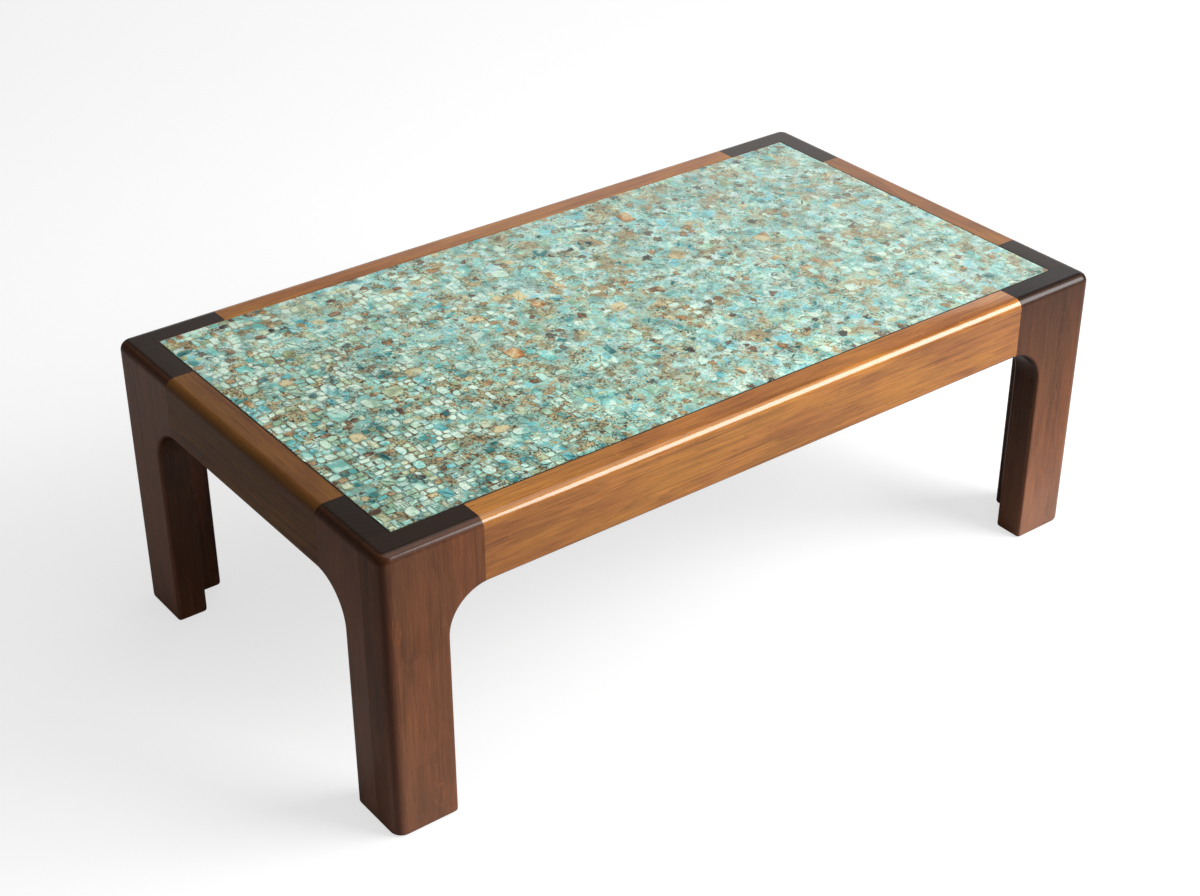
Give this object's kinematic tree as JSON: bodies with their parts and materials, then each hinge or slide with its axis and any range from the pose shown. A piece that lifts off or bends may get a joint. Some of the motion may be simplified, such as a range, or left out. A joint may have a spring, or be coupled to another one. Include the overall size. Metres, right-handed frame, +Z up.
{
  "type": "coffee table",
  "caption": "Low rectangular coffee table with L-shaped walnut corner legs, rounded hardwood rails and a turquoise chip mosaic set flush in the top.",
  "frame": {"origin": "on the floor under the middle of the table", "axes": "+X along the long side to the right end, +Y towards the back, +Z up; the front is -Y"},
  "size_m": [1.23, 0.685, 0.43],
  "materials": {
    "dark_walnut": "satin oiled walnut, dark at the end grain",
    "honey_teak": "satin lacquered teak with fine dark streaks",
    "panel_board": "bare plywood, seen only from below",
    "turquoise_chips": "polished turquoise chips in clear resin with brown matrix"
  },
  "bodies": {
    "root": {"leg_front_left_side_board": "dark_walnut", "leg_front_left_end_board": "dark_walnut", "leg_front_right_side_board": "dark_walnut", "leg_front_right_end_board": "dark_walnut", "leg_back_left_side_board": "dark_walnut", "leg_back_left_end_board": "dark_walnut", "leg_back_right_side_board": "dark_walnut", "leg_back_right_end_board": "dark_walnut", "rail_front": "honey_teak", "rail_back": "honey_teak", "rail_left": "honey_teak", "rail_right": "honey_teak", "top_panel": "panel_board", "turquoise_mosaic": "turquoise_chips"}
  },
  "joints": []
}
